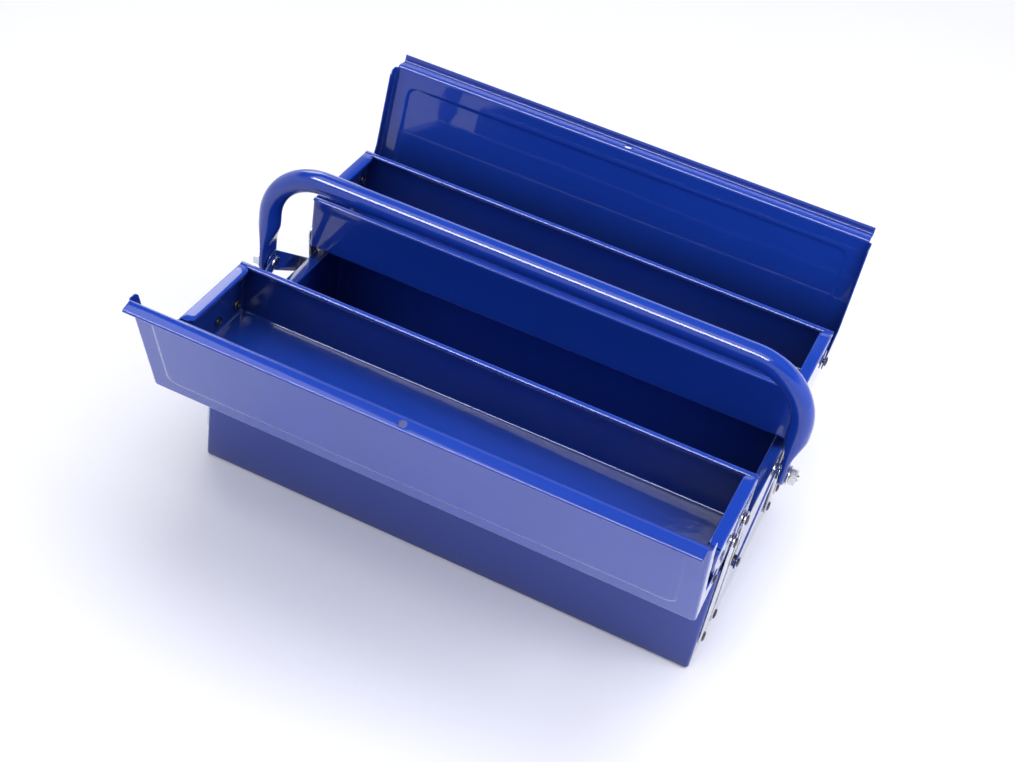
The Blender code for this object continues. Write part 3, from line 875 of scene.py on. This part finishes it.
def dome(height, radius, rise):
    """The outline of a low domed head on this height, from beside its crown down to its underside."""
    points = []
    for i in range(1, DOME_STEPS + 1):
        t = math.pi / 2 * i / DOME_STEPS
        points.append((radius * math.sin(t), height + rise * (0.25 + 0.75 * math.cos(t))))
    return points + [(radius, height + rise * 0.12), (radius * 0.96, height)]


def crater(height, radius, rise):
    """The rolled tail of a rivet, hollow in the middle, from its underside outwards to its end."""
    return [
        (radius * 0.96, height),
        (radius, height - rise * 0.2),
        (radius * 0.92, height - rise * 0.75),
        (radius * 0.7, height - rise),
        (radius * 0.48, height - rise * 0.8),
        (radius * 0.36, height - rise * 0.3),
        (0, height - rise * 0.25),
    ]


def shouldered_shank(near, head):
    """The strut's rivet: the strut's grip, a collar that spaces it out, and the link's grip."""
    strut_in = head - STRUT_GRIP
    link_out = near + LINK_GRIP
    return [
        (RIVET_RADIUS, head),
        (RIVET_RADIUS, strut_in),
        (COLLAR_RADIUS, strut_in),
        (COLLAR_RADIUS, link_out),
        (RIVET_RADIUS, link_out),
        (RIVET_RADIUS, near),
        (0, near),
    ]


def make_rivets():
    """Every rivet and lid pin keeps its node's reach along the length and gets a finer outline."""
    for node in sorted(frame["nodes"]):
        if "rivet" not in node and "lid_pin" not in node:
            continue
        way = ENDS[node.rsplit("_", 1)[1]]
        near, far = reach_of(node)
        body = next(name for name, members in BODIES.items() if node in members)
        head = far - RIVET_DOME
        profile = [(0, far)] + dome(head, RIVET_HEAD, RIVET_DOME)
        if "strut_rivet" in node:
            profile += shouldered_shank(near, head)
        else:
            tail = near + RIVET_DOME
            profile += [(RIVET_RADIUS, head), (RIVET_RADIUS, tail)]
            profile += crater(tail, RIVET_HEAD, RIVET_DOME)
        piece = turned(f"{node}_head", profile, outward(node, way))
        finish_piece(piece, body, DARK, node)


def make_bolt(node, way):
    """The pivot bolt: a thin round head, a plain shank and a threaded, chamfered tip."""
    near, far = reach_of(node)
    core = BOLT_RADIUS - THREAD_DEPTH
    profile = [(0, far), (core, far), (core, far - THREAD_DEPTH / 2)]
    for i in range(int(THREAD_LENGTH / THREAD_PITCH)):
        crest = far - THREAD_DEPTH - THREAD_PITCH * (i + 0.35)
        profile += [(core, crest + THREAD_PITCH * 0.4), (BOLT_RADIUS, crest + THREAD_PITCH * 0.1)]
        profile += [(BOLT_RADIUS, crest - THREAD_PITCH * 0.1), (core, crest - THREAD_PITCH * 0.4)]
    under = near + BOLT_HEAD_HEIGHT
    profile += [(BOLT_RADIUS, under), (BOLT_HEAD - BOLT_EASE, under), (BOLT_HEAD, under - BOLT_EASE)]
    profile += [(BOLT_HEAD, near + BOLT_EASE), (BOLT_HEAD - BOLT_EASE, near), (0, near)]
    obj = turned(f"{node}_shank", profile, outward(node, way))
    finish_piece(obj, "handle", ZINC, node)


def make_washer(node, way):
    """A flat washer as thick and as wide as its node."""
    low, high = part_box(node)
    near, far = reach_of(node)
    middle = outward(node, way) @ Matrix.Translation((0, 0, (near + far) / 2))
    outlines = [circle((0, 0), (high.z - low.z) / 2), circle((0, 0), BOLT_RADIUS + WASHER_PLAY)]
    obj = plate(f"{node}_ring", outlines, far - near, middle)
    finish_piece(obj, "handle", ZINC, node)


def make_nut(node, way):
    """A hexagon nut with both faces chamfered: the cone cuts the corners in six arcs."""
    low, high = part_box(node)
    near, far = reach_of(node)
    corner = max(high.y - low.y, high.z - low.z) / 2
    flat = corner * math.cos(math.pi / 6)
    face = flat * NUT_FACE
    bore = BOLT_RADIUS + NUT_PLAY
    form = bmesh.new()
    rows = [[] for _ in range(6)]
    for i in range(NUT_STEPS):
        angle = 2 * math.pi * i / NUT_STEPS
        reach = flat / math.cos(angle % (math.pi / 3) - math.pi / 6)
        drop = max(0.0, reach - face) * math.tan(NUT_CHAMFER)
        ring = [
            (bore, far - NUT_BEVEL),
            (face, far),
            (reach, far - drop),
            (reach, near + drop),
            (face, near),
            (bore, near + NUT_BEVEL),
        ]
        for row, (radius, height) in zip(rows, ring):
            row.append(form.verts.new((radius * math.cos(angle), radius * math.sin(angle), height)))
    grid_faces(form, rows + [rows[0]], closed=True)
    bmesh.ops.recalc_face_normals(form, faces=form.faces)
    obj = mesh_piece(f"{node}_hex", form, outward(node, way))
    finish_piece(obj, "handle", ZINC, node)


def make_bolts():
    """The handle's two pivot bolts, each with its washer and nut."""
    for end, way in ENDS.items():
        make_bolt(f"handle_bolt_{end}", way)
        make_washer(f"handle_washer_{end}", way)
        make_nut(f"handle_nut_{end}", way)


# ---------------------------------------------------------------- handle


def handle_line(leg_x, foot_z, top_z):
    """The tube's middle line from the left foot over the top to the right foot, as (x, z, turn)."""
    points = []
    bend_z = top_z - HANDLE_BEND
    for i in range(TUBE_FOOT_STEPS):
        share = (i / TUBE_FOOT_STEPS) ** FOOT_CROWDING
        points.append((-leg_x, foot_z + (bend_z - foot_z) * share, 0.0))
    for i in range(TUBE_BEND_STEPS + 1):
        t = math.pi / 2 * i / TUBE_BEND_STEPS
        x = -leg_x + HANDLE_BEND * (1 - math.cos(t))
        points.append((x, bend_z + HANDLE_BEND * math.sin(t), t))
    points += [(x, top_z, math.pi / 2) for x in evenly(points[-1][0], 0, GRID * 2)]
    return points + [(-x, z, math.pi - turn) for x, z, turn in reversed(points)]


def tube_section(above_bolt, above_foot):
    """Half the tube's thickness and width and its squareness, at a place on its leg."""
    flatness = (FOOT_ROUND_FROM - above_bolt) / (FOOT_ROUND_FROM - FOOT_FLAT_TO)
    flatness = min(1.0, max(0.0, flatness))
    flatness = flatness * flatness * (3 - 2 * flatness)
    thick = TUBE_RADIUS + (FOOT_THICKNESS / 2 - TUBE_RADIUS) * flatness
    wide = TUBE_RADIUS + (FOOT_WIDTH / 2 - TUBE_RADIUS) * flatness
    if above_foot < wide:
        round_end = math.sqrt(max(0.0, 1 - (1 - above_foot / wide) ** 2))
        wide *= max(0.06, round_end)
        thick *= max(0.25, min(1.0, round_end * 1.6))
    return thick, wide, 1 - FOOT_SQUARENESS * flatness


def make_handle():
    """The bent tube, pressed flat at both feet, where it ends in a half round."""
    node = "handle_tube"
    low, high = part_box(node)
    bolt_z = pivot("handle_level").z
    form = bmesh.new()
    rows = []
    for x, z, turn in handle_line(high.x - TUBE_RADIUS, low.z, high.z - TUBE_RADIUS):
        thick, wide, squareness = tube_section(z - bolt_z, z - low.z)
        row = []
        for i in range(TUBE_SIDES):
            angle = 2 * math.pi * i / TUBE_SIDES
            across, along = math.cos(angle), math.sin(angle)
            u = thick * math.copysign(abs(across) ** squareness, across)
            v = wide * math.copysign(abs(along) ** squareness, along)
            row.append(form.verts.new((x + u * math.cos(turn), v, z - u * math.sin(turn))))
        rows.append(row)
    grid_faces(form, rows, closed=True)
    for row in (rows[0], rows[-1]):
        form.faces.new(row)
    bmesh.ops.recalc_face_normals(form, faces=form.faces)
    centre_y = (low.y + high.y) / 2
    obj = mesh_piece("handle_bent_tube", form, Matrix.Translation((0, centre_y, 0)))
    finish_piece(obj, "handle", PAINT, node)


# ---------------------------------------------------------------- stage


def make_floor():
    """A plain pale floor that glows a little more far off, so that it meets the room softly."""
    form = bmesh.new()
    bmesh.ops.create_grid(form, x_segments=1, y_segments=1, size=FLOOR)
    floor = mesh_piece("floor", form)
    material, tree, shader = new_material("pale_floor")
    grain = noise_of(tree, 3, detail=2)
    colour = mix_colour(tree, grain, (0.76, 0.76, 0.83, 1), (0.80, 0.80, 0.86, 1))
    feed(tree, shader, Base_Color=colour, Roughness=0.55)
    away = add_node(tree, "ShaderNodeVectorMath", {0: place_coords(tree)}, operation="LENGTH")
    glow = ranged(tree, away.outputs["Value"], GLOW_FROM, GLOW_TO, NEAR_GLOW, FAR_GLOW)
    feed(tree, shader, Emission_Color=FLOOR_GLOW, Emission_Strength=glow)
    floor.data.materials.append(material)


def add_light(name, place, aim, size, power, rays):
    """A soft rectangle of light: a "lit" one lights the box, a "mirrored" one shows in its gloss."""
    light = bpy.data.lights.new(name, "AREA")
    light.shape = "RECTANGLE"
    light.size, light.size_y = size
    light.energy = power
    obj = bpy.data.objects.new(name, light)
    bpy.context.scene.collection.objects.link(obj)
    obj.location = place
    obj.rotation_euler = (Vector(aim) - Vector(place)).to_track_quat("-Z", "Y").to_euler()
    obj.visible_glossy = rays == "mirrored"
    obj.visible_diffuse = rays == "lit"


def make_world():
    """A soft room: even light, and in reflections pale walls low down under a dark roof."""
    world = bpy.data.worlds.new("studio")
    world.use_nodes = True
    tree = world.node_tree
    direction = add_node(tree, "ShaderNodeTexCoord").outputs["Generated"]
    height = add_node(tree, "ShaderNodeSeparateXYZ", {"Vector": direction}).outputs["Z"]
    mirrored = ranged(tree, height, *WALL_TOP, WALLS_MIRRORED, ROOF_MIRRORED)
    rays = add_node(tree, "ShaderNodeLightPath")
    strength = mix_value(tree, rays.outputs["Is Glossy Ray"], ROOM_LIGHT, mirrored)
    strength = mix_value(tree, rays.outputs["Is Camera Ray"], strength, WALLS_SEEN)
    feed(tree, tree.nodes["Background"], Color=ROOM_COLOUR, Strength=strength)
    bpy.context.scene.world = world


def make_lights():
    """Soft lamps that light the box without a mirror image, and cards that are only mirrored."""
    add_light("overhead_softbox", (0.25, 0.1, 2.4), (0, 0, 0), (2.6, 2.2), 56, rays="lit")
    add_light("front_softbox", (-0.4, -1.7, 1.8), (0, 0, 0), (1.6, 1.0), 15, rays="lit")
    add_light("right_softbox", (2.0, 0.2, 1.5), (0.3, 0, 0), (1.2, 1.2), 26, rays="lit")
    add_light("front_strip", (-0.38, -1.02, 1.42), (0, 0, 0.2), (1.8, 0.34), 36, rays="mirrored")
    add_light("left_card", (-1.35, 1.15, 1.35), (-0.2, 0, 0.15), (0.9, 0.7), 9, rays="mirrored")
    add_light("top_card", (-0.3, -0.62, 1.6), (0, 0, 0.2), (1.9, 0.9), 12, rays="mirrored")


def make_camera():
    """The photographer's place, turned to the middle of the box."""
    data = bpy.data.cameras.new("camera")
    data.lens = LENS
    data.sensor_width = SENSOR_WIDTH
    camera = bpy.data.objects.new("camera", data)
    bpy.context.scene.collection.objects.link(camera)
    aim = (CAD_BOX[0] + CAD_BOX[1]) / 2
    look = (aim - CAMERA_PLACE).to_track_quat("-Z", "Y").to_matrix().to_4x4()
    camera.matrix_world = Matrix.Translation(CAMERA_PLACE) @ look @ Matrix.Rotation(CAMERA_ROLL, 4, "Z")
    bpy.context.scene.camera = camera


PAINT = make_paint()
ZINC = make_zinc()
DARK = make_dark_steel()
make_compartment("base_shell", "base", "base_box", 1)
make_compartment("front_tray_shell", "front_tray", "front_tray", 2)
make_compartment("back_tray_shell", "back_tray", "back_tray", 3)
make_lid("front", 4)
make_lid("back", 5)
make_links()
make_struts()
make_rivets()
make_bolts()
make_handle()
make_floor()
make_world()
make_lights()
make_camera()
bpy.context.scene.view_settings.view_transform = "Standard"
